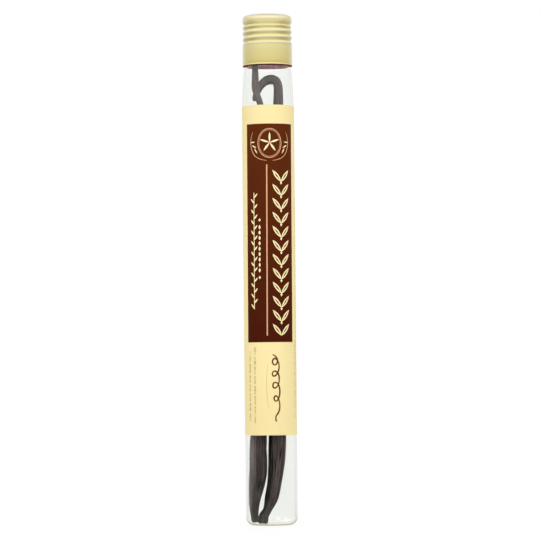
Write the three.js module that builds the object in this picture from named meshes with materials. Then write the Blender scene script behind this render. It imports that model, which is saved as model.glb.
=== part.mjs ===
// A slim glass tube of two vanilla pods, closed by a ribbed metal screw cap and wrapped in a paper label.
// Millimetres, +Z up. The origin is the centre of the base, and the label's front faces -Y.
import * as THREE from "three";

// Driving dimensions.
const TUBE_RADIUS = 10.1;
const TUBE_WALL = 0.9;
const BASE_THICKNESS = 0.8;
const HEEL_RADIUS = 3.1;
const TAPER_START = 167;
const TAPER_END = 177;
const TAPER_RADIUS = 9.4;
const NECK_START = 181;
const NECK_RADIUS = 8.5;
const NECK_WALL = 1.1;
const MOUTH_HEIGHT = 198.6;

const CAP_BOTTOM = 179.9;
const CAP_TOP = 200;
const CAP_RADIUS = 9.75;
const CAP_WALL = 0.38;
const CAP_SHOULDER = 1.8;
const CAP_EDGE = 0.3;
const CAP_BORE = 8.8;
const THREAD_PITCH = 2.35;
const THREAD_DEPTH = 0.5;
const THREAD_CREST = 191.25; // mean height of one crest where it crosses the +X side
const THREAD_LEAN = 0.26; // the thread is rolled a little askew, lower on the +X side
const THREAD_BOTTOM = 188.1;
const THREAD_TOP = 195.6;
const TOP_GROOVE = 195.9;
const TOP_GROOVE_WIDTH = 0.65;

const LABEL_BOTTOM = 35.2;
const LABEL_TOP = 164;
const LABEL_THICKNESS = 0.12;
const LABEL_GAP = 0.03;
const SEAM_ANGLE = THREE.MathUtils.degToRad(45); // middle of the overlap, at the back right
const SEAM_WIDTH = 6;

const ROUND_SIDES = 48;
const POD_SIDES = 16;
const POD_STEPS = 72;

// A point of a profile: its radius and its height.
const point = (radius, height) => new THREE.Vector2(radius, height);

// The points of a quarter round, or less, from one angle to another, in degrees.
function round(centreRadius, centreHeight, radius, from, to, steps) {
  const points = [];
  for (let i = 0; i <= steps; i++) {
    const angle = THREE.MathUtils.degToRad(from + ((to - from) * i) / steps);
    points.push(
      point(
        centreRadius + radius * Math.cos(angle),
        centreHeight + radius * Math.sin(angle),
      ),
    );
  }
  return points;
}

// A closed profile turned round the Z axis.
function turned(profile) {
  return new THREE.LatheGeometry(profile, ROUND_SIDES).rotateX(Math.PI / 2);
}

// The glass: a straight wall, a gentle taper and a plain neck, open at the mouth.
function glassTube() {
  const inner = TUBE_RADIUS - TUBE_WALL;
  const innerHeel = HEEL_RADIUS - TUBE_WALL;
  const bore = NECK_RADIUS - NECK_WALL;
  const lip = NECK_WALL / 2;
  const outside = [
    point(0, 0),
    ...round(TUBE_RADIUS - HEEL_RADIUS, HEEL_RADIUS, HEEL_RADIUS, -90, 0, 6),
    point(TUBE_RADIUS, TAPER_START),
    point(TAPER_RADIUS, TAPER_END),
    point(TAPER_RADIUS - 0.2, TAPER_END + 2),
    point(NECK_RADIUS + 0.25, NECK_START - 0.6),
    point(NECK_RADIUS, NECK_START + 0.4),
  ];
  const mouth = round(NECK_RADIUS - lip, MOUTH_HEIGHT - lip, lip, 0, 180, 6);
  const inside = [
    point(bore, NECK_START + 0.4),
    point(bore + 0.25, NECK_START - 0.8),
    point(TAPER_RADIUS - TUBE_WALL - 0.25, TAPER_END + 1.6),
    point(TAPER_RADIUS - TUBE_WALL, TAPER_END - 0.4),
    point(inner, TAPER_START - 0.4),
    ...round(
      inner - innerHeel,
      BASE_THICKNESS + innerHeel,
      innerHeel,
      0,
      -90,
      5,
    ),
    point(0, BASE_THICKNESS),
  ];
  return turned([...outside, ...mouth, ...inside]);
}

// How deep the rolled thread is pressed in at an angle and height, from 0 to THREAD_DEPTH.
function threadDepth(angle, height) {
  const turn = angle / (2 * Math.PI);
  const crest = THREAD_CREST - THREAD_LEAN * Math.cos(angle);
  const phase = (height - crest) / THREAD_PITCH - turn;
  const wave = 0.5 - 0.5 * Math.cos(2 * Math.PI * phase);
  const rise = THREE.MathUtils.smoothstep(
    height,
    THREAD_BOTTOM,
    THREAD_BOTTOM + 1,
  );
  const fall =
    1 - THREE.MathUtils.smoothstep(height, THREAD_TOP - 0.5, THREAD_TOP);
  const ring = Math.exp(-(((height - TOP_GROOVE) / TOP_GROOVE_WIDTH) ** 2));
  return THREAD_DEPTH * Math.max(wave * rise * fall, ring);
}

// The cap: a thin shell with a round shoulder and a thread rolled into its side, open below.
function screwCap() {
  const shoulder = CAP_TOP - CAP_SHOULDER;
  const rowHeight = THREAD_PITCH / 6;
  const rows = Math.round((shoulder - THREAD_BOTTOM) / rowHeight);
  const side = [];
  for (let i = 0; i <= rows; i++) {
    side.push(
      point(CAP_RADIUS, THREAD_BOTTOM + ((shoulder - THREAD_BOTTOM) * i) / rows),
    );
  }
  const skirt = CAP_RADIUS - CAP_WALL;
  const geometry = turned([
    ...round(CAP_RADIUS - CAP_EDGE, CAP_BOTTOM + CAP_EDGE, CAP_EDGE, -90, 0, 2),
    ...side,
    ...round(CAP_RADIUS - CAP_SHOULDER, shoulder, CAP_SHOULDER, 18, 90, 4),
    point(0, CAP_TOP),
    point(0, CAP_TOP - CAP_WALL),
    point(CAP_BORE - 0.6, CAP_TOP - CAP_WALL),
    point(CAP_BORE, CAP_TOP - CAP_WALL - 0.6),
    point(CAP_BORE, THREAD_BOTTOM),
    point(skirt, THREAD_BOTTOM - 0.8),
    point(skirt, CAP_BOTTOM),
    point(CAP_RADIUS - CAP_EDGE, CAP_BOTTOM),
  ]);
  const position = geometry.getAttribute("position");
  const vertex = new THREE.Vector3();
  for (let i = 0; i < position.count; i++) {
    vertex.fromBufferAttribute(position, i);
    const radius = Math.hypot(vertex.x, vertex.y);
    if (radius > skirt + 0.1 && vertex.z < shoulder + 0.01) {
      const depth = threadDepth(Math.atan2(vertex.y, vertex.x), vertex.z);
      const share = (radius - depth) / radius;
      position.setXY(i, vertex.x * share, vertex.y * share);
    }
  }
  return geometry;
}

// The label: a sleeve of paper whose end laps over its start, so it is two layers thick there.
function wrapLabel() {
  const inner = TUBE_RADIUS + LABEL_GAP;
  const outer = inner + LABEL_THICKNESS;
  const half = SEAM_WIDTH / outer / 2;
  const step = (2 * Math.PI) / ROUND_SIDES;
  const lapSteps = Math.round((2 * half) / step);
  const lapStart = Math.round((SEAM_ANGLE - half) / step);
  const corner = (radius, i) =>
    point(radius * Math.cos(i * step), radius * Math.sin(i * step));
  const outline = [];
  for (let i = 0; i <= lapSteps; i++) {
    outline.push(corner(outer + LABEL_THICKNESS, lapStart + i));
  }
  for (let i = lapSteps; i <= ROUND_SIDES; i++) {
    outline.push(corner(outer, lapStart + i));
  }
  const bore = [];
  for (let i = 0; i < ROUND_SIDES; i++) bore.push(corner(inner, -i));
  const shape = new THREE.Shape(outline);
  shape.holes.push(new THREE.Path(bore));
  return new THREE.ExtrudeGeometry(shape, {
    depth: LABEL_TOP - LABEL_BOTTOM,
    bevelEnabled: false,
  }).translate(0, 0, LABEL_BOTTOM);
}

// A pod: a ribbed, slightly flattened round laid along its spine. Each station is the spine's
// x, y and z there, and the half-width; depth is half its thickness over its half-width.
function pod({ stations, depth, ribs, ribHeight, twist }) {
  const spine = new THREE.CatmullRomCurve3(
    stations.map(([x, y, z]) => new THREE.Vector3(x, y, z)),
    false,
    "centripetal",
  );
  const halfWidth = (t) => {
    const place = t * (stations.length - 1);
    const i = Math.min(Math.floor(place), stations.length - 2);
    return THREE.MathUtils.lerp(
      stations[i][3],
      stations[i + 1][3],
      place - i,
    );
  };
  const geometry = new THREE.CylinderGeometry(1, 1, 1, POD_SIDES, POD_STEPS);
  const position = geometry.getAttribute("position");
  const front = new THREE.Vector3(0, 1, 0);
  for (let i = 0; i < position.count; i++) {
    const t = position.getY(i) + 0.5;
    const tangent = spine.getTangent(t);
    const across = new THREE.Vector3().crossVectors(tangent, front).normalize();
    const through = new THREE.Vector3().crossVectors(across, tangent);
    const reach = Math.hypot(position.getX(i), position.getZ(i));
    const angle = Math.atan2(position.getZ(i), position.getX(i));
    const rib = 1 + ribHeight * Math.cos(ribs * angle + twist * t);
    const radius = reach * halfWidth(t) * rib;
    const place = spine
      .getPoint(t)
      .addScaledVector(across, radius * Math.cos(angle))
      .addScaledVector(through, radius * depth * Math.sin(angle));
    position.setXYZ(i, place.x, place.y, place.z);
  }
  return geometry;
}

// The straight pod: blunt end down on the glass, stem end up inside the neck.
const STRAIGHT_POD = {
  stations: [
    [-6.3, 0.9, 1.5, 0.9],
    [-6.45, 0.9, 2.4, 1.4],
    [-6.6, 0.9, 3.9, 1.65],
    [-6.85, 0.85, 6.5, 1.85],
    [-6.45, 0.8, 10.6, 2.35],
    [-5.65, 0.8, 15.5, 3.05],
    [-5.15, 0.7, 20.5, 3.25],
    [-5.1, 0.6, 29, 3.3],
    [-5, 0.6, 38, 3.15],
    [-4.9, 0.4, 62, 3],
    [-4.4, 0.2, 95, 2.8],
    [-3.5, -0.2, 130, 2.3],
    [-2.6, -1, 155, 1.4],
    [-2.7, -1.5, 165, 1.22],
    [-3.95, -1.7, 168.8, 1.28],
    [-4.62, -1.8, 171.5, 1.38],
    [-4.72, -1.8, 176, 1.24],
    [-4.82, -1.8, 181, 1.05],
    [-4.6, -1.8, 186, 0.95],
    [-4.4, -1.7, 190, 0.7],
  ],
  depth: 0.62,
  ribs: 5,
  ribHeight: 0.07,
  twist: 3,
};

// The hooked pod: blunt end turned like a foot, stem end bent over behind the straight pod.
const HOOKED_POD = {
  stations: [
    [-4.95, -2.5, 2.95, 1],
    [-4.2, -2.5, 2.75, 1.55],
    [-3.2, -2.4, 2.75, 1.75],
    [-2.4, -2.3, 3.7, 1.6],
    [-1.85, -2.1, 5.3, 1.55],
    [-0.95, -1.9, 7.9, 2.15],
    [-0.1, -1.6, 10.8, 2.45],
    [0.9, -1.2, 15.5, 2.5],
    [1.65, -0.9, 21, 2.85],
    [2.2, -0.7, 28, 3.15],
    [2.6, -0.5, 36, 2.95],
    [2.9, -0.3, 62, 2.85],
    [3.3, 0, 95, 2.75],
    [3.6, 0.4, 130, 2.45],
    [3.9, 0.8, 155, 2.1],
    [4.13, 1.1, 165.2, 1.94],
    [4.21, 1.2, 169.5, 1.76],
    [4.08, 1.3, 172.2, 1.65],
    [3.4, 1.3, 174.1, 1.65],
    [1.82, 1.4, 174.85, 1.76],
    [-0.27, 1.5, 174.6, 1.6],
    [-2.17, 1.6, 173.35, 1.42],
    [-3.57, 1.7, 171.4, 1.33],
    [-4.49, 1.7, 169.2, 1.18],
    [-5, 1.7, 167.4, 0.95],
    [-5.1, 1.7, 166.6, 0.65],
  ],
  depth: 0.62,
  ribs: 5,
  ribHeight: 0.07,
  twist: -4,
};

const MATERIALS = {
  clearGlass: new THREE.MeshStandardMaterial({
    color: "#eef0eb",
    roughness: 0.03,
    metalness: 0,
    transparent: true,
    opacity: 0.3,
  }),
  goldLacquer: new THREE.MeshStandardMaterial({
    color: "#d9c985",
    roughness: 0.35,
    metalness: 0.6,
  }),
  creamPaper: new THREE.MeshStandardMaterial({
    color: "#f6e4a4",
    roughness: 0.55,
    metalness: 0,
  }),
  vanilla: new THREE.MeshStandardMaterial({
    color: "#2b221d",
    roughness: 0.5,
    metalness: 0,
  }),
};

const group = new THREE.Group();
const add = (name, geometry, material) => {
  const mesh = new THREE.Mesh(geometry, material);
  mesh.name = name;
  group.add(mesh);
};
add("glass_tube", glassTube(), MATERIALS.clearGlass);
add("screw_cap", screwCap(), MATERIALS.goldLacquer);
add("label", wrapLabel(), MATERIALS.creamPaper);
add("pod_straight", pod(STRAIGHT_POD), MATERIALS.vanilla);
add("pod_hooked", pod(HOOKED_POD), MATERIALS.vanilla);

export default group;
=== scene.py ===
# A slim glass tube of two vanilla pods with a gold screw cap and a wrapped paper label.
import math

import bmesh
import bpy
from mathutils import Matrix, Vector, noise


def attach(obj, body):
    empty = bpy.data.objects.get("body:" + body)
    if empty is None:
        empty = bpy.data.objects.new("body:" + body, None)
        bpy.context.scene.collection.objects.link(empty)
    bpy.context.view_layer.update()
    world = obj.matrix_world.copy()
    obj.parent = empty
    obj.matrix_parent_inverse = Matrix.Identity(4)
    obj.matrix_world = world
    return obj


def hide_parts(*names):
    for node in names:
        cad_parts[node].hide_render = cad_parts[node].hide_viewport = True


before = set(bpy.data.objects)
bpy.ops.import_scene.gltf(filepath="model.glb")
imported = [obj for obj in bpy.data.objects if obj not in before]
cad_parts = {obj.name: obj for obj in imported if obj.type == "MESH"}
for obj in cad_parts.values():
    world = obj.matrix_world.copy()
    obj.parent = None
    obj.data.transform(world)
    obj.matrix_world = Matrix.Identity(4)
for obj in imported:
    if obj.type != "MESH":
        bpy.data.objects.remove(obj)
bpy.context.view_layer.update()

MM = 0.001

# The tube, in millimetres. The same values as the solids have, but for a thinner base, which the
# pods' lower ends show through the glass.
TUBE_RADIUS = 10.1
TUBE_WALL = 0.9
BASE_THICKNESS = 0.6
HEEL_RADIUS = 3.1
FOOT_RING = 3.5
FOOT_MIDDLE = 0.5
WALL_RINGS = (30.0, 100.0)
SHOULDER_DROP = 0.2
NECK_RADIUS = 8.5
NECK_WALL = 1.1
MOUTH_HEIGHT = 198.6
ROUND_SIDES = 144

# The cap.
CAP_BOTTOM = 179.7
CAP_TOP = 200.0
CAP_RADIUS = 9.75
CAP_SHEET = 0.25
CAP_SIDES = 180
THREAD_PITCH = 2.35
THREAD_DEPTH = 0.5
THREAD_CREST = 191.25
THREAD_LEAN = 0.26
THREAD_BOTTOM = 188.1
THREAD_TOP = 195.9
THREAD_ROW = 0.17
THREAD_RADIUS = 9.68
THREAD_RUN_IN = 0.9
BEAD_GROOVE = 195.0
BEAD_GROOVE_RUN_IN = 0.8
ROSE_EDGE_OUTSIDE = 0.3
ROSE_EDGE_INSIDE = 0.5
ROSE_EDGE_RADIUS = 9.56

# The label and its print.
LABEL_BOTTOM = 35.2
LABEL_TOP = 164.0
LABEL_RADIUS = 10.12
PAPER_THICKNESS = 0.08
LABEL_STEPS = 144
SEAM_ANGLE = math.radians(45)
SEAM_WIDTH = 6.0
LAP_CLEARANCE = 0.01
PRINT_RADIUS = LABEL_RADIUS + PAPER_THICKNESS
INK_THICKNESS = 0.012
PRINT_LEAN = math.radians(0.35)  # the print runs a little askew to the tube
PRINT_MIDDLE = 114.0
BEND_SPACING = 0.5
BEND_OFFSET = 0.013  # so that no cut falls on a corner

# The photograph's camera, found from the tube's outline.
CAMERA_LENS = 204.7
CAMERA_DISTANCE = 1204.0
CAMERA_HEIGHT = 59.5
CAMERA_AIM = (0.2, 0.0, 99.8)
CAMERA_ROLL = math.radians(0.57)


def to_linear(code):
    """A colour as written on a swatch, #rrggbb, turned to linear light."""
    parts = [int(code[i : i + 2], 16) / 255 for i in (1, 3, 5)]
    return tuple(
        c / 12.92 if c <= 0.04045 else ((c + 0.055) / 1.055) ** 2.4 for c in parts
    ) + (1.0,)


def add_node(tree, kind, inputs=None, **settings):
    """Adds a node with its settings, and its inputs set or linked."""
    made = tree.nodes.new(kind)
    for name, value in settings.items():
        setattr(made, name, value)
    for socket, value in (inputs or {}).items():
        if isinstance(value, bpy.types.NodeSocket):
            tree.links.new(value, made.inputs[socket])
        else:
            made.inputs[socket].default_value = value
    return made


def new_material(name):
    material = bpy.data.materials.new(name)
    material.use_nodes = True
    material.node_tree.nodes.clear()
    return material, material.node_tree


def finish_material(tree, surface):
    add_node(tree, "ShaderNodeOutputMaterial", {"Surface": surface})


# Modelling helpers.


def deselect():
    bpy.ops.object.select_all(action="DESELECT")


def work_on(piece):
    deselect()
    piece.select_set(True)
    bpy.context.view_layer.objects.active = piece


def edit(on=True):
    bpy.ops.object.mode_set(mode="EDIT" if on else "OBJECT")


def pick(test):
    """In edit mode, selects the vertices that pass the test and nothing else."""
    bpy.ops.mesh.select_mode(type="VERT")
    bpy.ops.mesh.select_all(action="DESELECT")
    mesh = bmesh.from_edit_mesh(bpy.context.object.data)
    for vertex in mesh.verts:
        vertex.select_set(test(vertex.co / MM))
    mesh.select_flush(True)
    bmesh.update_edit_mesh(bpy.context.object.data)


def apply(piece, kind, **settings):
    """Adds a modifier and applies it."""
    work_on(piece)
    modifier = piece.modifiers.new(kind, kind)
    for name, value in settings.items():
        setattr(modifier, name, value)
    bpy.ops.object.modifier_apply(modifier=modifier.name)


def smooth(piece, degrees):
    work_on(piece)
    bpy.ops.object.shade_smooth_by_angle(angle=math.radians(degrees))


def turned(name, profile, sides):
    """A ring drawn up a profile of (radius, height), as on a lathe, with both ends filled."""
    deselect()
    radius, height = profile[0]
    bpy.ops.mesh.primitive_circle_add(
        vertices=sides, radius=radius * MM, fill_type="NOTHING"
    )
    piece = bpy.context.object
    piece.name = name
    edit()
    bpy.ops.mesh.select_all(action="SELECT")
    bpy.ops.transform.translate(value=(0, 0, height * MM))
    for before, after in zip(profile, profile[1:]):
        bpy.ops.mesh.extrude_region_move(
            TRANSFORM_OT_translate={"value": (0, 0, (after[1] - before[1]) * MM)}
        )
        scale = after[0] / before[0]
        bpy.ops.transform.resize(
            value=(scale, scale, 1), center_override=(0, 0, after[1] * MM)
        )
    bpy.ops.mesh.edge_face_add()
    return piece


def arc(radius, height, reach, start, end, steps):
    """Points of a round in a profile, with angles in degrees."""
    return [
        (
            radius + reach * math.cos(math.radians(start + (end - start) * i / steps)),
            height + reach * math.sin(math.radians(start + (end - start) * i / steps)),
        )
        for i in range(steps + 1)
    ]


def close_start(profile):
    """Fills the first ring of a turned piece, which is still in edit mode, and ends editing."""
    radius, height = profile[0]
    pick(
        lambda at: abs(at.z - height) < 0.001
        and abs(math.hypot(at.x, at.y) - radius) < 0.001
    )
    bpy.ops.mesh.edge_face_add()
    bpy.ops.mesh.select_all(action="SELECT")
    bpy.ops.mesh.normals_make_consistent(inside=False)
    edit(False)


# The glass tube: soda-lime glass, drawn as tube, its base closed in the flame and its neck drawn in.


def make_glass():
    inner = TUBE_RADIUS - TUBE_WALL
    inner_heel = HEEL_RADIUS - TUBE_WALL
    lip = NECK_WALL / 2
    shoulder = [
        (TUBE_RADIUS, 164.5),
        (10.06, 167.0),
        (9.95, 169.0),
        (9.84, 171.0),
        (9.73, 173.0),
        (9.61, 175.0),
        (9.47, 176.7),
        (9.35, 178.1),
        (9.21, 179.3),
        (9.02, 180.2),
        (8.74, 180.9),
        (NECK_RADIUS, 181.6),
    ]
    outside = (
        [(FOOT_MIDDLE, 0.0), (FOOT_RING, 0.0)]
        + arc(TUBE_RADIUS - HEEL_RADIUS, HEEL_RADIUS, HEEL_RADIUS, -90, 0, 14)
        + [(TUBE_RADIUS, height) for height in WALL_RINGS]
        + shoulder
    )
    mouth = arc(NECK_RADIUS - lip, MOUTH_HEIGHT - lip, lip, 0, 180, 10)
    inside = (
        [(radius - TUBE_WALL, height - SHOULDER_DROP) for radius, height in reversed(shoulder)]
        + [(inner, height) for height in reversed(WALL_RINGS)]
        + arc(inner - inner_heel, BASE_THICKNESS + inner_heel, inner_heel, 0, -90, 12)
        + [(FOOT_RING, BASE_THICKNESS), (FOOT_MIDDLE, BASE_THICKNESS)]
    )
    profile = outside + mouth + inside
    piece = turned("glass_wall", profile, ROUND_SIDES)
    close_start(profile)
    smooth(piece, 40)
    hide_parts("glass_tube")
    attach(piece, "root")
    return piece


# The cap: thin aluminium sheet, drawn to a cup, its thread rolled in over the glass.


def thread_depth(angle, height):
    """How far the rolled thread and the groove under the bead are pressed in."""
    crest = THREAD_CREST - THREAD_LEAN * math.cos(angle)
    phase = (height - crest) / THREAD_PITCH - angle / math.tau
    wave = 0.5 - 0.5 * math.cos(math.tau * phase)
    run_in = min(max((height - THREAD_BOTTOM) / THREAD_RUN_IN, 0.0), 1.0)
    groove = min(max((height - BEAD_GROOVE) / BEAD_GROOVE_RUN_IN, 0.0), 1.0)
    run_in = run_in * run_in * (3 - 2 * run_in)
    groove = groove * groove * (3 - 2 * groove)
    return THREAD_DEPTH * max(wave * run_in, groove)


def make_cap():
    rim = [
        (9.36, CAP_BOTTOM + 0.42),
        (9.38, CAP_BOTTOM + 0.18),
        (9.46, CAP_BOTTOM + 0.04),
        (9.58, CAP_BOTTOM),
        (9.69, CAP_BOTTOM + 0.05),
        (CAP_RADIUS, CAP_BOTTOM + 0.35),
        (9.74, CAP_BOTTOM + 0.52),
        (9.69, CAP_BOTTOM + 0.66),
        (9.65, CAP_BOTTOM + 0.78),
        (9.69, CAP_BOTTOM + 0.94),
        (9.72, CAP_BOTTOM + 1.15),
    ]
    skirt = [(9.73, height) for height in (182.0, 184.0, 186.0, 187.2)]
    rows = int((THREAD_TOP - THREAD_BOTTOM) / THREAD_ROW)
    thread = [
        (THREAD_RADIUS, THREAD_BOTTOM + (THREAD_TOP - THREAD_BOTTOM) * i / rows)
        for i in range(rows + 1)
    ]
    bead = [
        (9.2, 196.1),
        (9.33, 196.4),
        (9.53, 196.75),
        (9.68, 197.1),
        (9.74, 197.4),
        (CAP_RADIUS, 197.8),
        (9.73, 198.2),
        (9.62, 198.7),
        (9.42, 199.1),
        (9.1, 199.45),
        (8.7, 199.7),
        (8.2, 199.88),
        (7.6, 199.97),
        (7.0, CAP_TOP),
        (3.5, CAP_TOP),
        (0.5, CAP_TOP),
    ]
    piece = turned("cap_shell", rim + skirt + thread + bead, CAP_SIDES)
    edit(False)
    for vertex in piece.data.vertices:
        at = vertex.co / MM
        if THREAD_BOTTOM < at.z < THREAD_TOP + 0.01:
            radius = math.hypot(at.x, at.y)
            share = 1 - thread_depth(math.atan2(at.y, at.x), at.z) / radius
            vertex.co.x *= share
            vertex.co.y *= share
    work_on(piece)
    edit()
    bpy.ops.mesh.select_all(action="SELECT")
    bpy.ops.mesh.normals_make_consistent(inside=False)
    edit(False)
    for finish in (gold_lacquer(), rose_lacquer()):
        piece.data.materials.append(finish)
    # The rosy lining comes round the curled rim, and is painted dark brown at its lowest outer edge,
    # a painted shadow of the gap under the cap.
    for face in piece.data.polygons:
        at = face.center / MM
        rise = at.z - CAP_BOTTOM
        inside = math.hypot(at.x, at.y) < ROSE_EDGE_RADIUS
        if rise < (ROSE_EDGE_INSIDE if inside else ROSE_EDGE_OUTSIDE):
            face.material_index = 1
    apply(
        piece,
        "SOLIDIFY",
        thickness=CAP_SHEET * MM,
        offset=-1,
        use_even_offset=True,
        use_rim=True,
        material_offset=1,
    )
    smooth(piece, 50)
    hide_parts("screw_cap")
    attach(piece, "root")


# The label: coated paper, wrapped once round the glass and lapped over itself at the back.


def make_label():
    deselect()
    bpy.ops.mesh.primitive_circle_add(
        vertices=LABEL_STEPS, radius=LABEL_RADIUS * MM, fill_type="NOTHING"
    )
    piece = bpy.context.object
    piece.name = "label_wrap"
    step = math.tau / LABEL_STEPS
    lap_steps = round(SEAM_WIDTH / PRINT_RADIUS / step)
    start = SEAM_ANGLE - lap_steps * step / 2
    edit()
    bpy.ops.mesh.select_all(action="SELECT")
    bpy.ops.transform.translate(value=(0, 0, LABEL_BOTTOM * MM))
    # The ring is cut open at the seam, and its end is carried on over its start.
    first = round(start / step) * step

    def near(angle):
        spot = Vector((math.cos(angle), math.sin(angle), 0)) * LABEL_RADIUS
        return lambda at: (Vector((at.x, at.y, 0)) - spot).length < 0.1

    pick(lambda at: near(first)(at) or near(first - step)(at))
    bpy.ops.mesh.delete(type="EDGE")
    pick(near(first - step))
    radius, angle = LABEL_RADIUS, first - step
    for i in range(1, lap_steps + 2):
        rise = min(i / 2, 1.0) * (PAPER_THICKNESS + LAP_CLEARANCE)
        ahead_radius, ahead = LABEL_RADIUS + rise, first - step + i * step
        bpy.ops.mesh.extrude_region_move(
            TRANSFORM_OT_translate={
                "value": (
                    (ahead_radius * math.cos(ahead) - radius * math.cos(angle)) * MM,
                    (ahead_radius * math.sin(ahead) - radius * math.sin(angle)) * MM,
                    0,
                )
            }
        )
        radius, angle = ahead_radius, ahead
    bpy.ops.mesh.select_all(action="SELECT")
    bpy.ops.mesh.extrude_region_move(
        TRANSFORM_OT_translate={"value": (0, 0, (LABEL_TOP - LABEL_BOTTOM) * MM)}
    )
    bpy.ops.mesh.select_all(action="SELECT")
    bpy.ops.mesh.normals_make_consistent(inside=False)
    edit(False)
    face = piece.data.polygons[0]
    outwards = face.normal.dot(Vector((face.center.x, face.center.y, 0))) > 0
    apply(
        piece,
        "SOLIDIFY",
        thickness=PAPER_THICKNESS * MM,
        offset=1 if outwards else -1,
        use_rim=True,
    )
    smooth(piece, 30)
    piece.data.materials.append(coated_paper())
    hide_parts("label")
    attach(piece, "root")


# The print: each ink is drawn flat, across and up the label in millimetres, and then wrapped round.


def flat_plate(across, up, width, height):
    """A plain rectangle of ink, centred at a place on the flat label."""
    deselect()
    bpy.ops.mesh.primitive_grid_add(
        x_subdivisions=1, y_subdivisions=1, size=1, calc_uvs=False
    )
    return lay_flat(across, up, width, height)


def flat_leaf(across, up, width, height, turn=0.0, roundness=0.8):
    """A pointed leaf: a diamond whose two side corners are rounded."""
    deselect()
    bpy.ops.mesh.primitive_circle_add(
        vertices=4, radius=0.5, fill_type="NGON", calc_uvs=False
    )
    edit()
    bpy.ops.mesh.select_mode(type="VERT")
    bpy.ops.mesh.select_all(action="DESELECT")
    mesh = bmesh.from_edit_mesh(bpy.context.object.data)
    for vertex in mesh.verts:
        vertex.select_set(abs(vertex.co.x) > 0.4)
    bmesh.update_edit_mesh(bpy.context.object.data)
    if roundness:
        bpy.ops.mesh.bevel(
            offset=0.6 * roundness, segments=5, affect="VERTICES", clamp_overlap=True
        )
    edit(False)
    return lay_flat(across, up, width, height, turn)


def flat_disc(across, up, width):
    deselect()
    bpy.ops.mesh.primitive_circle_add(
        vertices=20, radius=0.5, fill_type="NGON", calc_uvs=False
    )
    return lay_flat(across, up, width, width)


def flat_ring(across, up, width, height, line):
    """An oval line of ink."""
    deselect()
    bpy.ops.mesh.primitive_circle_add(
        vertices=72, radius=0.5, fill_type="NOTHING", calc_uvs=False
    )
    edit()
    bpy.ops.mesh.select_all(action="SELECT")
    bpy.ops.mesh.extrude_region_move()
    bpy.ops.transform.resize(
        value=((width - 2 * line) / width, (height - 2 * line) / height, 1),
        center_override=(0, 0, 0),
    )
    edit(False)
    return lay_flat(across, up, width, height)


def flat_stroke(points, widths):
    """A pen stroke through points, each with its own width there."""
    deselect()
    bpy.ops.curve.primitive_bezier_curve_add()
    pen = bpy.context.object
    pen.data.dimensions = "3D"
    pen.data.twist_mode = "Z_UP"
    pen.data.splines.clear()
    line = pen.data.splines.new("NURBS")
    line.points.add(len(points) - 1)
    for spot, (x, y), width in zip(line.points, points, widths):
        spot.co = (x, y, 0, 1)
        spot.radius = width
    line.use_endpoint_u = True
    line.order_u = 4
    line.resolution_u = 6
    # The stroke's width comes from a flat bevel line, one unit across.
    bpy.ops.curve.primitive_bezier_curve_add()
    nib = bpy.context.object
    nib.data.splines.clear()
    edge = nib.data.splines.new("POLY")
    edge.points.add(1)
    edge.points[0].co = (-0.5, 0, 0, 1)
    edge.points[1].co = (0.5, 0, 0, 1)
    pen.data.bevel_mode = "OBJECT"
    pen.data.bevel_object = nib
    work_on(pen)
    bpy.ops.object.convert(target="MESH")
    drawn = bpy.context.object
    bpy.data.objects.remove(nib, do_unlink=True)
    return drawn


def lay_flat(across, up, width, height, turn=0.0):
    """Sizes, turns and places the shape just drawn, on the flat label."""
    shape = bpy.context.object
    shape.data.transform(
        Matrix.Translation((across, up, 0))
        @ Matrix.Rotation(turn, 4, "Z")
        @ Matrix.Diagonal((width, height, 1, 1))
    )
    return shape


def print_on(name, shapes, ink, layer):
    """Joins flat shapes, gives the ink its thickness and wraps it round the label."""
    work_on(shapes[0])
    for shape in shapes:
        shape.select_set(True)
    if len(shapes) > 1:
        bpy.ops.object.join()
    piece = bpy.context.object
    piece.name = name
    edit()
    bpy.ops.mesh.select_all(action="SELECT")
    bpy.ops.mesh.quads_convert_to_tris()
    # Bisecting every 0.5 mm lets a wide shape bend with the paper.
    for i in range(-26, 28):
        bpy.ops.mesh.select_all(action="SELECT")
        bpy.ops.mesh.bisect(
            plane_co=(i * BEND_SPACING + BEND_OFFSET, 0, 0), plane_no=(1, 0, 0)
        )
    edit(False)
    mesh = bmesh.new()
    mesh.from_mesh(piece.data)
    for face in mesh.faces:
        if face.normal.z < 0:
            face.normal_flip()
    mesh.to_mesh(piece.data)
    mesh.free()
    apply(piece, "SOLIDIFY", thickness=INK_THICKNESS, offset=-1, use_rim=True)
    surface = PRINT_RADIUS + INK_THICKNESS * (layer + 0.5)
    for vertex in piece.data.vertices:
        across, up, lift = vertex.co
        across += (up - PRINT_MIDDLE) * math.tan(PRINT_LEAN)
        angle = across / PRINT_RADIUS
        radius = surface + lift
        vertex.co = Vector((radius * math.sin(angle), -radius * math.cos(angle), up)) * MM
    smooth(piece, 30)
    piece.data.materials.append(ink)
    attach(piece, "root")


# The print's places on the flat label, across from its middle and up from the foot.
PANEL_LEFT = -9.9
PANEL_RIGHT = 10.6
PANEL_BOTTOM = 71.4
PANEL_TOP = 156.6
GARLAND_ACROSS = 4.9
VINE_ACROSS = -6.2
BEADS_ACROSS = -3.8
RULE_ACROSS = -0.85
FLOWER_ACROSS = 0.3
FLOWER_UP = 149.2
OVAL_UP = 149.0
PETAL_REACH = 2.1


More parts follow.
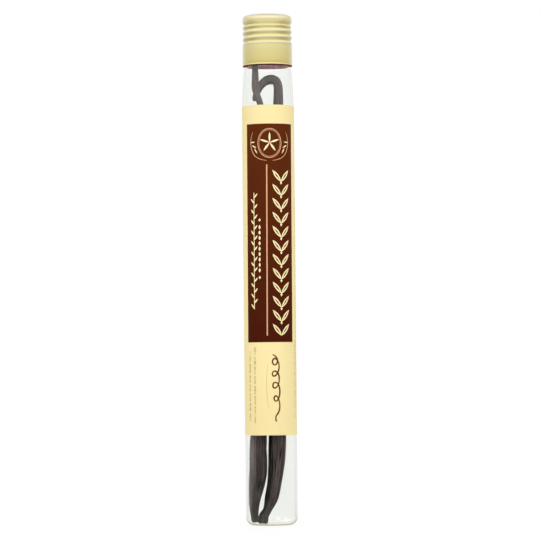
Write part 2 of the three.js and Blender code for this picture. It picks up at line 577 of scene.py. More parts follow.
def make_print():
    panel = flat_plate(
        (PANEL_LEFT + PANEL_RIGHT) / 2,
        (PANEL_BOTTOM + PANEL_TOP) / 2,
        PANEL_RIGHT - PANEL_LEFT,
        PANEL_TOP - PANEL_BOTTOM,
    )
    print_on("print_panel", [panel], brown_ink(), 1)

    # A garland runs down the panel's right, and a fine vine and a row of beads down its left, with
    # a rule between. The garland's leaves have brown midribs.
    cream = []
    stripes = []
    for i in range(12):
        up = 76.2 + 5.45 * i
        for side in (-1, 1):
            across, turn = GARLAND_ACROSS + side * 1.75, side * math.radians(-38)
            cream.append(flat_leaf(across, up, 2.5, 5.9, turn))
            stripes.append(flat_leaf(across, up, 0.5, 4.4, turn, 0))
        if i < 11:
            cream.append(flat_leaf(GARLAND_ACROSS, up + 2.75, 0.95, 1.35, roundness=0))
    for i in range(22):
        side = 1 if i % 2 else -1
        turn = side * math.radians(-40)
        cream.append(flat_leaf(VINE_ACROSS + side * 0.72, 85.4 + 2.05 * i, 1.05, 2.5, turn))
    cream.append(flat_plate(VINE_ACROSS, 107, 0.3, 45.5))
    for i in range(9):
        cream.append(flat_leaf(BEADS_ACROSS, 99.4 + 2.1 * i, 1.35, 1.7))
    for up in (96.6, 119.0):
        cream.append(flat_leaf(BEADS_ACROSS, up, 1.0, 1.3, roundness=0))
    # An open flower in an oval, at the top of the panel, with three leaves at each side.
    for turn in (0, 72, 144, 216, 288):
        angle = math.radians(turn)
        across = FLOWER_ACROSS - PETAL_REACH * math.sin(angle)
        up = FLOWER_UP + PETAL_REACH * math.cos(angle)
        cream.append(flat_leaf(across, up, 1.35, 3.9, angle, 0.9))
    for side in (-1, 1):
        for k, tilt in enumerate((30, 62, 94)):
            across = FLOWER_ACROSS + side * (5.6 + 0.75 * k)
            turn = -math.radians(tilt) * side
            cream.append(flat_leaf(across, 146.0 + 1.7 * k, 0.75, 2.4, turn))
    print_on("print_cream", cream, cream_ink(), 2)

    copper = [
        flat_plate(RULE_ACROSS, 107.3, 0.5, 66.6),
        flat_ring(FLOWER_ACROSS, OVAL_UP, 9.6, 11.6, 0.28),
        flat_ring(FLOWER_ACROSS, OVAL_UP, 8.5, 10.5, 0.14),
        flat_disc(FLOWER_ACROSS, FLOWER_UP, 1.1),
    ]
    stem = ((1.2, 142.2), (5.2, 142.6), (8.0, 146.0), (8.3, 150.6), (6.9, 153.4))
    for side in (-1, 1):
        curve = [(FLOWER_ACROSS + side * across, up) for across, up in stem]
        copper.append(flat_stroke(curve, (0.16, 0.26, 0.28, 0.26, 0.12)))
    print_on("print_copper", copper, copper_ink(), 3)
    print_on("print_stripes", stripes, brown_ink(), 3)

    # The lower field: a loose pen flourish, and rows of fine marks at both sides.
    flourish = (
        ((1.2, 66.6), (3.4, 65.6), (3.2, 62.0), (0.6, 62.8), (1.6, 66.0), (4.2, 63.4))
        + ((3.4, 58.8), (0.9, 57.6), (1.0, 60.6), (3.9, 59.8), (3.9, 54.6), (1.4, 52.8))
        + ((0.9, 55.8), (3.6, 56.0), (4.4, 51.0), (2.6, 47.6), (1.2, 49.6), (2.8, 51.4))
        + ((4.3, 47.2), (3.6, 43.4), (1.9, 42.6), (2.6, 40.6))
    )
    widths = [0.4 + 0.34 * math.sin(1.9 * i) ** 2 for i in range(len(flourish))]
    print_on("print_flourish", [flat_stroke(flourish, widths)], pen_ink(), 1)
    tail = [(-0.6, 63.0), (-1.5, 57.0), (-1.4, 51.0), (-0.3, 45.5)]
    marks = [flat_stroke(tail, (0.06, 0.13, 0.13, 0.06))]
    for across, width, low, high, seed in (
        (-8.7, 1.2, 41.0, 68.0, 1),
        (-6.1, 1.1, 40.0, 69.8, 2),
        (12.4, 0.8, 42.0, 72.0, 3),
        (13.7, 0.6, 50.0, 128.0, 4),
    ):
        up, step = low, 0
        while up < high:
            length = 0.2 + 0.12 * noise.cell(Vector((step, seed, 0.5)))
            reach = width * (0.75 + 0.25 * noise.cell(Vector((step, seed, 1.5))))
            marks.append(flat_plate(across, up + length / 2, reach, length))
            up += length + (0.8 if step % 7 == 6 else 0.26)
            step += 1
    print_on("print_marks", marks, faint_ink(), 1)


# The pods: cured whole, dark and oily, wrinkled along their length and a little flattened.

# Places along each pod's middle: across, through, up, and half its width there.
STRAIGHT_POD = (
    (-6.45, 0.9, 1.15, 1.1),
    (-6.5, 0.9, 1.4, 1.4),
    (-6.62, 0.9, 2.4, 1.6),
    (-6.8, 0.9, 3.9, 1.65),
    (-6.95, 0.85, 6.5, 2.0),
    (-6.6, 0.8, 10.6, 2.55),
    (-5.7, 0.8, 15.5, 3.35),
    (-5.05, 0.7, 20.5, 3.6),
    (-5.1, 0.6, 28.0, 3.5),
    (-5.0, 0.6, 38.0, 3.2),
    (-4.9, 0.4, 62.0, 3.0),
    (-4.4, 0.2, 95.0, 2.8),
    (-3.5, -0.2, 130.0, 2.3),
    (-2.6, -1.0, 155.0, 1.4),
    (-2.72, -1.5, 165.0, 1.22),
    (-4.5, -1.7, 169.0, 1.28),
    (-4.9, -1.8, 171.6, 1.58),
    (-4.75, -1.8, 176.0, 1.34),
    (-4.82, -1.8, 181.0, 1.05),
    (-4.6, -1.8, 186.0, 0.95),
    (-4.45, -1.7, 189.6, 0.8),
    (-4.4, -1.7, 190.0, 0.6),
)
HOOKED_POD = (
    (-3.5, -2.45, 0.6, 1.6),
    (-3.48, -2.45, 0.9, 1.95),
    (-3.4, -2.4, 2.1, 2.05),
    (-3.25, -2.4, 3.2, 2.02),
    (-2.95, -2.3, 4.15, 1.95),
    (-2.25, -2.2, 5.0, 1.75),
    (-1.7, -2.1, 6.1, 1.7),
    (-0.9, -1.9, 8.1, 2.2),
    (0.0, -1.6, 10.8, 2.85),
    (0.95, -1.2, 15.5, 2.7),
    (1.65, -0.9, 21.0, 3.1),
    (2.2, -0.7, 28.0, 3.55),
    (2.45, -0.5, 36.0, 3.55),
    (2.9, -0.3, 62.0, 2.85),
    (3.3, 0.0, 95.0, 2.75),
    (3.6, 0.4, 130.0, 2.45),
    (3.9, 0.8, 155.0, 2.1),
    (4.13, 1.1, 165.2, 1.94),
    (4.24, 1.2, 169.5, 1.8),
    (4.2, 1.3, 172.2, 1.75),
    (3.55, 1.3, 174.3, 1.85),
    (1.82, 1.4, 174.9, 1.95),
    (-0.27, 1.5, 174.7, 1.85),
    (-2.17, 1.6, 173.35, 1.55),
    (-3.57, 1.7, 171.4, 1.4),
    (-4.5, 1.7, 169.3, 1.3),
    (-4.92, 1.7, 167.7, 1.25),
    (-5.0, 1.7, 166.7, 1.1),
    (-5.0, 1.7, 166.4, 0.8),
)
POD_SIDES = 16
POD_RING_SPACING = 7.0
POD_FLATNESS = 0.64
POD_FULLNESS = 1.026  # makes up for what smoothing takes off the sixteen-sided rings


def spine_points(stations):
    """Places along a smooth line through the stations, closer together where it bends."""
    places = [Vector(s[:3]) for s in stations]
    sizes = [s[3] for s in stations]
    points = []
    for i in range(len(places) - 1):
        here, ahead = places[i], places[i + 1]
        before = places[i - 1] if i else here * 2 - ahead
        beyond = places[i + 2] if i + 2 < len(places) else ahead * 2 - here
        gap = (ahead - here).length
        out = (ahead - before) / max((ahead - before).length, 1e-6) * gap
        into = (beyond - here) / max((beyond - here).length, 1e-6) * gap
        steps = max(1, math.ceil(gap / POD_RING_SPACING))
        for k in range(steps):
            t = k / steps
            a, b = 2 * t**3 - 3 * t**2 + 1, t**3 - 2 * t**2 + t
            c, d = -2 * t**3 + 3 * t**2, t**3 - t**2
            points.append(
                (here * a + out * b + ahead * c + into * d, sizes[i] * (1 - t) + sizes[i + 1] * t)
            )
    points.append((places[-1], sizes[-1]))
    return points


def close_end(centre):
    """Draws the selected ring in towards its centre and fills it."""
    bpy.ops.mesh.extrude_region_move()
    bpy.ops.transform.resize(value=(0.5, 0.5, 0.5), center_override=centre * MM)
    bpy.ops.mesh.edge_face_add()


def make_pod(name, node, stations, seed, seam, contrast, skin):
    """Draws a pod ring by ring along its stations, closes and smooths it, and wrinkles its skin."""
    points = spine_points(stations)
    deselect()
    bpy.ops.mesh.primitive_circle_add(
        vertices=POD_SIDES, radius=POD_FULLNESS * MM, fill_type="NOTHING"
    )
    piece = bpy.context.object
    piece.name = name
    edit()
    bpy.ops.mesh.select_all(action="SELECT")
    lean, size = 0.0, 1.0
    at = Vector((0, 0, 0))
    bpy.ops.transform.resize(value=(1, POD_FLATNESS, 1), center_override=(0, 0, 0))
    for i, (place, half) in enumerate(points):
        before = points[max(i - 1, 0)][0]
        ahead = points[min(i + 1, len(points) - 1)][0]
        heading = math.atan2(ahead.x - before.x, ahead.z - before.z)
        move = (place - at) * MM
        if i == 0:
            bpy.ops.transform.translate(value=move)
        else:
            bpy.ops.mesh.extrude_region_move(TRANSFORM_OT_translate={"value": move})
        turn = (heading - lean + math.pi) % math.tau - math.pi
        centre = place * MM
        bpy.ops.transform.rotate(
            value=-turn, orient_axis="Y", orient_type="GLOBAL", center_override=centre
        )
        grow = half / size
        bpy.ops.transform.resize(value=(grow, grow, grow), center_override=centre)
        at, lean, size = place, heading, half
    # Both ends are drawn in to a small cap, the last ring's first and then the first ring's.
    close_end(points[-1][0])
    bpy.ops.mesh.select_all(action="DESELECT")
    mesh = bmesh.from_edit_mesh(piece.data)
    for index, vertex in enumerate(mesh.verts):
        vertex.select_set(index < POD_SIDES)
    mesh.select_flush(True)
    bmesh.update_edit_mesh(piece.data)
    close_end(points[0][0])
    bpy.ops.mesh.select_all(action="SELECT")
    bpy.ops.mesh.normals_make_consistent(inside=False)
    edit(False)
    # Where each point lies round the pod and along it, for its wrinkles and its grain.
    grain = piece.data.attributes.new("grain", "FLOAT_VECTOR", "POINT")
    along, lengths = 0.0, []
    for i, (place, _) in enumerate(points):
        along += (place - points[i - 1][0]).length if i else 0.0
        lengths.append(along)
    rings = len(points)
    for vertex in piece.data.vertices:
        ring, spoke = divmod(vertex.index, POD_SIDES)
        if ring >= rings:
            ring = rings - 1 if ring == rings else 0
        # The circle that a pod starts from has its first point at the back.
        angle = math.tau * spoke / POD_SIDES + math.pi / 2
        reach = points[ring][1]
        grain.data[vertex.index].vector = (
            reach * math.cos(angle),
            reach * math.sin(angle),
            lengths[ring],
        )
    apply(piece, "SUBSURF", levels=3, render_levels=3)
    wrinkle(piece, seed, seam, contrast)
    smooth(piece, 180)
    piece.data.materials.append(skin)
    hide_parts(node)
    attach(piece, "root")


# The skin's relief: depths in millimetres, the seam's width and sway in radians, and how often
# the rest comes round the pod and along each millimetre of it.
SWELL = 0.45
FOLD_DEPTH = 0.2
FOLD_WIDTH = 0.12
FOLDS_ROUND = 1.1
FOLDS_ALONG = 0.028
CREASE_DEPTH = 0.17
CREASE_WIDTH = 0.13
CREASES_ROUND = 3.4
CREASES_ALONG = 0.035
SEAM_DEPTH = 0.4
SEAM_HALF_WIDTH = 0.36
SEAM_SWAY = 0.18
SWAYS_ALONG = 0.06
FULL_RELIEF_REACH = 2.2
PLAIN_FROM = 140.0
PLAIN_OVER = 20.0
POD_GAP = 0.04


def groove(value, width):
    """One in the middle of a crease, where the noise passes nought, down to nought beside it."""
    return max(1 - abs(value) / width, 0.0)


def glass_room(height):
    """How far from the tube's axis a pod may reach at a height, in the round of the heel too."""
    inner = TUBE_RADIUS - TUBE_WALL
    heel = HEEL_RADIUS - TUBE_WALL
    drop = max(BASE_THICKNESS + heel - height, 0.0)
    return inner - heel + math.sqrt(heel**2 - drop**2) - POD_GAP


def wrinkle(piece, seed, seam, contrast):
    """Presses folds and fine creases into the skin, drawn out along the pod, and its one seam at an
    angle round it. How pale the skin is left at each point is kept for the skin's colour: palest on
    its swells, and darkened by painted shade in its folds, creases and seam. The contrast makes this
    plainer or stronger."""
    grain = [point.vector.copy() for point in piece.data.attributes["grain"].data]
    normals = [vertex.normal.copy() for vertex in piece.data.vertices]
    swell_and_fold_shades = []
    for vertex, normal in zip(piece.data.vertices, normals):
        across, through, along = grain[vertex.index]
        reach = max(math.hypot(across, through), 0.05)
        around = Vector((across / reach, through / reach, 0))
        broad = noise.noise(around * FOLDS_ROUND + Vector((seed, 0.3, along * FOLDS_ALONG)))
        fine = noise.noise(around * CREASES_ROUND + Vector((0.3, seed, along * CREASES_ALONG)))
        fold, crease = groove(broad, FOLD_WIDTH), groove(fine, CREASE_WIDTH)
        bend = SEAM_SWAY * noise.noise(Vector((seed, 0.5, along * SWAYS_ALONG)))
        turn = math.atan2(through, across) - seam - bend
        turn = (turn + math.pi) % math.tau - math.pi
        split = math.exp(-((turn / SEAM_HALF_WIDTH) ** 2))
        slim = min(reach / FULL_RELIEF_REACH, 1.0)
        height = (
            SWELL * broad - FOLD_DEPTH * fold - CREASE_DEPTH * crease - SEAM_DEPTH * split
        )
        # The skin is palest on its swells and darkest in its folds, creases and seam, where the dark
        # is painted shade.
        lift = 0.5 * broad + 0.5 * fine - 0.5 * fold - 0.6 * crease - 0.9 * split
        lift = 0.8 + contrast * lift
        # Towards the stem end the skin is plainer.
        plain = min(max((along - PLAIN_FROM) / PLAIN_OVER, 0.0), 1.0)
        height *= 1 - 0.4 * plain
        lift += (0.62 - lift) * 0.65 * plain
        swell_and_fold_shades.append(min(max(lift, 0.0), 1.0))
        vertex.co += normal * height * slim * MM
        # The skin gives where it lies against the glass.
        vertex.co.z = max(vertex.co.z, (BASE_THICKNESS + POD_GAP) * MM)
        out = math.hypot(vertex.co.x, vertex.co.y)
        room = glass_room(vertex.co.z / MM) * MM
        if out > room:
            vertex.co.x *= room / out
            vertex.co.y *= room / out
    piece.data.attributes.new("swell_and_fold_shade", "FLOAT", "POINT").data.foreach_set("value", swell_and_fold_shades)


# Materials.


def reach_from_axis(tree, place):
    """How far a place is from the tube's axis."""
    level = add_node(tree, "ShaderNodeVectorMath", {0: place, 1: (1, 1, 0)}, operation="MULTIPLY")
    length = add_node(tree, "ShaderNodeVectorMath", {0: level.outputs[0]}, operation="LENGTH")
    return length.outputs["Value"]


def blended(tree, value, start, end, first, second):
    """One colour up to where a value in millimetres starts to change, and another from its end."""
    share = add_node(
        tree,
        "ShaderNodeMapRange",
        {"Value": value, "From Min": start * MM, "From Max": end * MM},
    )
    return add_node(
        tree,
        "ShaderNodeMix",
        {0: share.outputs[0], 6: first, 7: second},
        data_type="RGBA",
    ).outputs[2]


def gold_lacquer():
    """Aluminium sheet under a clear gold lacquer: a soft, pale gold with a satin shine."""
    material, tree = new_material("gold_lacquered_aluminium")
    place = add_node(tree, "ShaderNodeTexCoord").outputs["Object"]
    # The sheet is drawn upwards, so its grain runs up: 0.15 mm across and 4 mm long.
    stretch = add_node(
        tree, "ShaderNodeMapping", {"Vector": place, "Scale": (6600, 6600, 250)}
    )
    drawn = add_node(
        tree,
        "ShaderNodeTexNoise",
        {"Vector": stretch.outputs[0], "Scale": 1.0, "Detail": 3.0},
    ).outputs["Fac"]
    rough = add_node(tree, "ShaderNodeMapRange", {"Value": drawn, "To Min": 0.4, "To Max": 0.48})
    bump = add_node(
        tree, "ShaderNodeBump", {"Height": drawn, "Strength": 0.12, "Distance": 0.02 * MM}
    )
    # The lacquer is yellowest where it pools, in the thread's troughs and towards the rim. It is
    # paler on the thread's crests and palest on the upper skirt, where a painted sheen is mixed into
    # its colour. The closed top is painted darker than the round below it, a painted shade.
    radius = reach_from_axis(tree, place)
    height = add_node(tree, "ShaderNodeSeparateXYZ", {0: place}).outputs["Z"]
    skirt = blended(tree, height, 181, 187, to_linear("#d0be69"), to_linear("#d3c77f"))
    thread = blended(tree, radius, 9.2, 9.7, to_linear("#c9bb57"), to_linear("#bfb283"))
    dome_painted_shade = blended(tree, height, 198.1, 199.4, to_linear("#d6ca88"), to_linear("#9d9272"))
    below = blended(tree, height, 187.6, 188.4, skirt, thread)
    colour = blended(tree, height, 196.4, 197.1, below, dome_painted_shade)
    shader = add_node(
        tree,
        "ShaderNodeBsdfPrincipled",
        {
            "Base Color": colour,
            "Metallic": 0.15,
            "Specular IOR Level": 0.9,
            "Roughness": rough.outputs[0],
            "Normal": bump.outputs[0],
            "Coat Weight": 1.0,
            "Coat IOR": 1.85,
            "Coat Roughness": 0.18,
        },
    )
    finish_material(tree, shader.outputs[0])
    return material


def rose_lacquer():
    """The same sheet inside, under a rosy protective lacquer, painted dark brown on the outside of
    the curled rim as a painted shadow.
    """
    material, tree = new_material("rose_lacquered_aluminium")
    place = add_node(tree, "ShaderNodeTexCoord").outputs["Object"]
    # Mottled in patches of about 1 mm.
    mottle = add_node(
        tree, "ShaderNodeTexNoise", {"Vector": place, "Scale": 900.0, "Detail": 2.0}
    )
    rose = add_node(
        tree,
        "ShaderNodeMix",
        {0: mottle.outputs["Fac"], 6: to_linear("#e94a7a"), 7: to_linear("#f0638f")},
        data_type="RGBA",
    )
    reach = reach_from_axis(tree, place)
    # From 9.42 mm out to 9.6 mm from the axis the rose turns to dark brown: a painted shadow on the
    # curled rim.
    shader = add_node(
        tree,
        "ShaderNodeBsdfPrincipled",
        {
            "Base Color": blended(tree, reach, 9.6, 9.42, to_linear("#38200a"), rose.outputs[2]),
            "Metallic": 0.2,
            "Roughness": 0.45,
            "Specular IOR Level": 0.15,
        },
    )
    finish_material(tree, shader.outputs[0])
    return material


def clear_glass():
    """Drawn soda-lime tube glass: clear, faintly grey-green, polished by the flame."""
    material, tree = new_material("drawn_soda_lime_glass")
    glass = add_node(
        tree,
        "ShaderNodeBsdfPrincipled",
        {
            "Base Color": to_linear("#fdfefb"),
            "Roughness": 0.0,
            "IOR": 1.5,
            "Transmission Weight": 1.0,
        },
    )
    # Lamps shine through the glass on to what it holds.
    through = add_node(
        tree, "ShaderNodeBsdfTransparent", {"Color": to_linear("#f8faf6")}
    )
    path = add_node(tree, "ShaderNodeLightPath")
    mixed = add_node(
        tree,
        "ShaderNodeMixShader",
        {
            0: path.outputs["Is Shadow Ray"],
            1: glass.outputs[0],
            2: through.outputs[0],
        },
    )
    finish_material(tree, mixed.outputs[0])
    return material


def coated_paper():
    """Cream coated label paper: even and warm, with a low sheen and a very fine tooth."""
    material, tree = new_material("cream_coated_paper")
    place = add_node(tree, "ShaderNodeTexCoord").outputs["Object"]
    cloud = add_node(
        tree, "ShaderNodeTexNoise", {"Vector": place, "Scale": 60.0, "Detail": 3.0}
    )
    colour = add_node(
        tree,
        "ShaderNodeMix",
        {0: cloud.outputs["Fac"], 6: to_linear("#f6e2a2"), 7: to_linear("#fae9b0")},
        data_type="RGBA",
    )
    # The sheet is painted a shade darker towards its top and lighter towards its foot: painted light
    # and shade that even out how the light falls on it.
    height = add_node(tree, "ShaderNodeSeparateXYZ", {0: place}).outputs["Z"]
    painted_light_ramp = add_node(
        tree,
        "ShaderNodeMapRange",
        {
            "Value": height,
            "From Min": 40 * MM,
            "From Max": 160 * MM,
            "To Min": 1.05,
            "To Max": 0.93,
        },
    )
    shaded = add_node(
        tree,
        "ShaderNodeVectorMath",
        {0: colour.outputs[2], "Scale": painted_light_ramp.outputs[0]},
        operation="SCALE",
    )
    # Paper fibres are about 0.03 mm wide, drawn at 0.25 mm so that they show.
    tooth = add_node(
        tree, "ShaderNodeTexNoise", {"Vector": place, "Scale": 4000.0, "Detail": 4.0}
    )
    bump = add_node(
        tree,
        "ShaderNodeBump",
        {"Height": tooth.outputs["Fac"], "Strength": 0.05, "Distance": 0.02 * MM},
    )
    shader = add_node(
        tree,
        "ShaderNodeBsdfPrincipled",
        {
            "Base Color": shaded.outputs[0],
            "Roughness": 0.5,
            "Specular IOR Level": 0.08,
            "Normal": bump.outputs[0],
        },
    )
    finish_material(tree, shader.outputs[0])
    return material


def printed_ink(name, dark, light, scale, roughness, low=0.0, high=0.0):
    """Offset ink on coated paper: two near tones of one colour, mottled in patches, the scale's
    number to the metre, with a low sheen. Between the heights low and high, where given, the ink
    runs from the dark tone to the light."""
    material, tree = new_material(name)
    place = add_node(tree, "ShaderNodeTexCoord").outputs["Object"]
    tone = add_node(
        tree, "ShaderNodeTexNoise", {"Vector": place, "Scale": scale, "Detail": 4.0}
    ).outputs["Fac"]
    if high:
        split = add_node(tree, "ShaderNodeSeparateXYZ", {0: place})
        rise = add_node(
            tree,
            "ShaderNodeMapRange",
            {"Value": split.outputs["Z"], "From Min": low * MM, "From Max": high * MM},
        )
        tone = add_node(
            tree, "ShaderNodeMix", {0: 0.2, 2: rise.outputs[0], 3: tone}
        ).outputs[0]
    colour = add_node(
        tree,
        "ShaderNodeMix",
        {0: tone, 6: to_linear(dark), 7: to_linear(light)},
        data_type="RGBA",
    )
    shader = add_node(
        tree,
        "ShaderNodeBsdfPrincipled",
        {
            "Base Color": colour.outputs[2],
            "Roughness": roughness,
            "Specular IOR Level": 0.06,
        },
    )
    finish_material(tree, shader.outputs[0])
    return material


def brown_ink():
    return printed_ink(
        "brown_ink", "#441001", "#5c2806", 500.0, 0.45, PANEL_BOTTOM, PANEL_TOP
    )


def pen_ink():
    return printed_ink("pen_brown_ink", "#5c2a0c", "#733c18", 500.0, 0.45)


def cream_ink():
    return printed_ink("cream_ink", "#f8e7ac", "#fdf0bd", 500.0, 0.4)


def copper_ink():
    return printed_ink("copper_ink", "#cf9a70", "#e6b88c", 700.0, 0.4)


def faint_ink():
    return printed_ink("faint_grey_brown_ink", "#bfa76a", "#b2985a", 900.0, 0.5)


def cured_skin():
    """Cured vanilla skin: near black brown and oily, painted dark in its folds as painted shade and
    dull grey on its ridges, with a fine lengthwise grain."""
    material, tree = new_material("cured_vanilla_skin")
    grain = add_node(tree, "ShaderNodeAttribute", attribute_name="grain").outputs["Vector"]
    swell_and_fold_shade = add_node(tree, "ShaderNodeAttribute", attribute_name="swell_and_fold_shade").outputs["Fac"]
    # Grain lines 0.3 mm apart and some 20 mm long, over patches about 2 by 30 mm.
    drawn_out = []
    for scale, detail in (((3.6, 3.6, 0.05), 5.0), ((0.5, 0.5, 0.035), 2.0)):
        at = add_node(tree, "ShaderNodeMapping", {"Vector": grain, "Scale": scale})
        made = add_node(
            tree,
            "ShaderNodeTexNoise",
            {"Vector": at.outputs[0], "Scale": 1.0, "Detail": detail},
        )
        drawn_out.append(made.outputs["Fac"])
    lines, patches = drawn_out
    raised = add_node(
        tree,
        "ShaderNodeMix",
        {0: patches, 6: to_linear("#4f423f"), 7: to_linear("#736765")},
        data_type="RGBA",
    )
    # Near black in the folds, creases and seam: a painted shade.
    shade = add_node(
        tree,
        "ShaderNodeMix",
        {0: swell_and_fold_shade, 6: to_linear("#080404"), 7: raised.outputs[2]},
        data_type="RGBA",
    )
    along = add_node(tree, "ShaderNodeSeparateXYZ", {0: grain}).outputs["Z"]
    place = add_node(tree, "ShaderNodeTexCoord").outputs["Object"]
    height = add_node(tree, "ShaderNodeSeparateXYZ", {0: place}).outputs["Z"]
    tone = 1.0
    for value, start, end, low, high in (
        # The finest lines lighten and darken the skin a little.
        (lines, 0.35, 0.65, 0.5, 1.5),
        # Each pod is painted darkest at its blossom end, palest some 50 mm up and darker again
        # above: painted light and shade that even out how the light falls on it in the glass.
        (along, 0.0, 48.0, 0.12, 1.85),
        (along, 60.0, 150.0, 1.0, 0.447),
        # Just under the label, which shades it, the skin is painted paler still, painted light that
        # makes up for that shade.
        (along, 26.0, 36.0, 1.0, 1.7),
        # The stem end is painted darker again where it goes up into the cap, a painted shadow of the
        # cap.
        (height, 177 * MM, 180 * MM, 1.0, 0.3),
    ):
        share = add_node(
            tree,
            "ShaderNodeMapRange",
            {"Value": value, "From Min": start, "From Max": end, "To Min": low, "To Max": high},
        )
        tone = add_node(
            tree, "ShaderNodeMath", {0: share.outputs[0], 1: tone}, operation="MULTIPLY"
        ).outputs[0]
    streaked_and_shaded = add_node(
        tree,
        "ShaderNodeVectorMath",
        {0: shade.outputs[2], "Scale": tone},
        operation="SCALE",
    )
    rough = add_node(tree, "ShaderNodeMapRange", {"Value": lines, "To Min": 0.3, "To Max": 0.5})
    # The folds are given little shine, which darkens them as shade would, and the dry blossom end
    # has least.
    oily = add_node(tree, "ShaderNodeMapRange", {"Value": swell_and_fold_shade, "To Min": 0.05, "To Max": 0.55})
    dry = add_node(
        tree,
        "ShaderNodeMapRange",
        {"Value": along, "From Max": 22.0, "To Min": 0.2, "To Max": 1.0},
    )
    shine = add_node(
        tree,
        "ShaderNodeMath",
        {0: oily.outputs[0], 1: dry.outputs[0]},
        operation="MULTIPLY",
    )
    bump = add_node(
        tree,
        "ShaderNodeBump",
        {"Height": lines, "Strength": 0.5, "Distance": 0.12 * MM},
    )
    shader = add_node(
        tree,
        "ShaderNodeBsdfPrincipled",
        {
            "Base Color": streaked_and_shaded.outputs[0],
            "Roughness": rough.outputs[0],
            "Specular IOR Level": shine.outputs[0],
            "Normal": bump.outputs[0],
        },
    )
    finish_material(tree, shader.outputs[0])
    return material


# The stage: a white table lit from below, in a soft white tent. Its sizes are in metres.

TABLE_GLOW = 0.79
TABLE_FRONT = -0.115
TABLE_BACK = 12.0
TABLE_HALF_WIDTH = 6.0


def seen_straight(tree):
    """One for what the camera sees straight or straight through glass, and nought for the rest."""
    path = add_node(tree, "ShaderNodeLightPath").outputs
    seen = add_node(
        tree,
        "ShaderNodeMath",
        {0: path["Is Camera Ray"], 1: path["Is Transmission Ray"]},
        operation="ADD",
        use_clamp=True,
    )
    turns = add_node(
        tree,
        "ShaderNodeMath",
        {0: path["Glossy Depth"], 1: path["Diffuse Depth"]},
        operation="ADD",
    )
    unturned = add_node(
        tree, "ShaderNodeMath", {0: turns.outputs[0], 1: 0.5}, operation="LESS_THAN"
    )
    return add_node(
        tree,
        "ShaderNodeMath",
        {0: seen.outputs[0], 1: unturned.outputs[0]},
        operation="MULTIPLY",
    ).outputs[0]


def white_table():
    """Opal acrylic lit from below, so that the table is as white as the backdrop."""
    material, tree = new_material("opal_acrylic_light_table")
    place = add_node(tree, "ShaderNodeTexCoord").outputs["Object"]
    bearing = add_node(tree, "ShaderNodeVectorMath", {0: place}, operation="NORMALIZE")
    split = add_node(tree, "ShaderNodeSeparateXYZ", {0: bearing.outputs[0]})
    # Behind the pack and close about its foot the table is lit as the backdrop is, and the glass
    # mirrors it there.
    behind = add_node(
        tree,
        "ShaderNodeMapRange",
        {"Value": split.outputs["Y"], "From Min": -0.1, "From Max": 0.9, "To Max": 0.85},
    )
    gap = add_node(tree, "ShaderNodeVectorMath", {0: place}, operation="LENGTH")
    close = add_node(
        tree,
        "ShaderNodeMapRange",
        {
            "Value": gap.outputs["Value"],
            "From Min": 0.015,
            "From Max": 0.08,
            "To Min": 0.55,
            "To Max": 0.0,
        },
    )
    far = add_node(
        tree,
        "ShaderNodeMath",
        {0: behind.outputs[0], 1: close.outputs[0]},
        operation="MAXIMUM",
    )
    straight = seen_straight(tree)
    share = add_node(
        tree,
        "ShaderNodeMath",
        {0: straight, 1: far.outputs[0]},
        operation="MAXIMUM",
    )
    # Through the glass heel, the light from close about the foot comes a little warm.
    warmth = add_node(
        tree,
        "ShaderNodeMath",
        {0: close.outputs[0], 1: straight},
        operation="SUBTRACT",
        use_clamp=True,
    )
    colour = add_node(
        tree,
        "ShaderNodeMix",
        {0: warmth.outputs[0], 6: (1, 1, 1, 1), 7: to_linear("#ffefb8")},
        data_type="RGBA",
    )
    glow = add_node(
        tree,
        "ShaderNodeMath",
        {0: share.outputs[0], 1: TABLE_GLOW},
        operation="MULTIPLY",
    )
    shader = add_node(
        tree,
        "ShaderNodeBsdfPrincipled",
        {
            "Base Color": to_linear("#5a5a5a"),
            "Roughness": 0.8,
            "Specular IOR Level": 0.2,
            "Emission Color": colour.outputs[2],
            "Emission Strength": glow.outputs[0],
        },
    )
    finish_material(tree, shader.outputs[0])
    return material


def make_stage():
    deselect()
    bpy.ops.mesh.primitive_plane_add(size=2)
    table = bpy.context.object
    table.name = "table"
    middle = (TABLE_FRONT + TABLE_BACK) / 2
    half_depth = (TABLE_BACK - TABLE_FRONT) / 2
    table.data.transform(
        Matrix.Translation((0, middle, 0))
        @ Matrix.Diagonal((TABLE_HALF_WIDTH, half_depth, 1, 1))
    )
    table.data.materials.append(white_table())


# How bright the studio is at each sine of the height above the table: dark where the glass
# would mirror it low down, a little brighter where its top does, and a wide soft tent above. The
# two ends come first, because the ramp starts with two stops.
STUDIO_LEVELS = (
    (-1.0, 0.52),
    (1.0, 0.6),
    (-0.2, 0.52),
    (-0.13, 0.01),
    (0.045, 0.01),
    (0.09, 0.3),
    (0.2, 0.36),
    (0.34, 0.45),
    (0.48, 1.0),
    (0.85, 1.0),
)
STUDIO_STRENGTH = 2.08


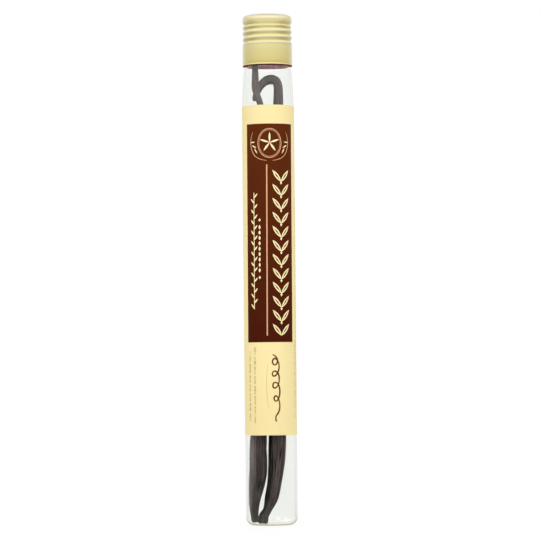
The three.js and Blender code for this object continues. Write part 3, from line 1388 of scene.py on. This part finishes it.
def make_light():
    world = bpy.data.worlds.new("studio")
    bpy.context.scene.world = world
    world.use_nodes = True
    tree = world.node_tree
    tree.nodes.clear()
    white = add_node(
        tree, "ShaderNodeBackground", {"Color": (1, 1, 1, 1), "Strength": 1.0}
    )
    way = add_node(tree, "ShaderNodeTexCoord").outputs["Generated"]
    split = add_node(tree, "ShaderNodeSeparateXYZ", {0: way})
    wall = add_node(
        tree,
        "ShaderNodeMapRange",
        {
            "Value": split.outputs["Y"],
            "From Min": -0.3,
            "From Max": 0.8,
            "To Min": 0.02,
            "To Max": 0.9,
        },
    )
    height = add_node(
        tree,
        "ShaderNodeMapRange",
        {"Value": split.outputs["Z"], "From Min": -1.0, "From Max": 1.0},
    )
    tent = add_node(tree, "ShaderNodeValToRGB", {0: height.outputs[0]})
    ramp = tent.color_ramp
    for i, (sine, level) in enumerate(STUDIO_LEVELS):
        place = (sine + 1) / 2
        stop = ramp.elements[i] if i < 2 else ramp.elements.new(place)
        stop.position = place
        stop.color = (level, level, level, 1)
    # The front of the tent is brighter than its back.
    front = add_node(
        tree,
        "ShaderNodeMapRange",
        {
            "Value": split.outputs["Y"],
            "From Min": -0.6,
            "From Max": 0.6,
            "To Min": 1.2 * STUDIO_STRENGTH,
            "To Max": 0.6 * STUDIO_STRENGTH,
        },
    )
    lit = add_node(
        tree,
        "ShaderNodeMath",
        {0: tent.outputs[0], 1: front.outputs[0]},
        operation="MULTIPLY",
    )
    level = add_node(
        tree,
        "ShaderNodeMath",
        {0: wall.outputs[0], 1: lit.outputs[0]},
        operation="MAXIMUM",
    )
    room = add_node(
        tree,
        "ShaderNodeBackground",
        {"Color": (1, 1, 1, 1), "Strength": level.outputs[0]},
    )
    mixed = add_node(
        tree,
        "ShaderNodeMixShader",
        {0: seen_straight(tree), 1: room.outputs[0], 2: white.outputs[0]},
    )
    add_node(tree, "ShaderNodeOutputWorld", {"Surface": mixed.outputs[0]})


def make_camera():
    place = Vector((0, -CAMERA_DISTANCE, CAMERA_HEIGHT)) * MM
    aim = Vector(CAMERA_AIM) * MM
    deselect()
    bpy.ops.object.camera_add(location=place)
    camera = bpy.context.object
    camera.data.lens = CAMERA_LENS
    camera.data.sensor_width = 36.0
    camera.data.clip_end = 100.0
    look = (aim - place).to_track_quat("-Z", "Y").to_matrix()
    roll = Matrix.Rotation(-CAMERA_ROLL, 3, "Z")
    camera.rotation_euler = (look @ roll).to_euler()
    bpy.context.scene.camera = camera


glass = make_glass()
glass.data.materials.append(clear_glass())
make_cap()
make_label()
make_print()
skin = cured_skin()
make_pod("straight_pod", "pod_straight", STRAIGHT_POD, 3.0, math.radians(75), 0.7, skin)
make_pod("hooked_pod", "pod_hooked", HOOKED_POD, 11.0, math.radians(-137), 1.0, skin)
make_stage()
make_light()
make_camera()
bpy.context.scene.view_settings.view_transform = "Standard"
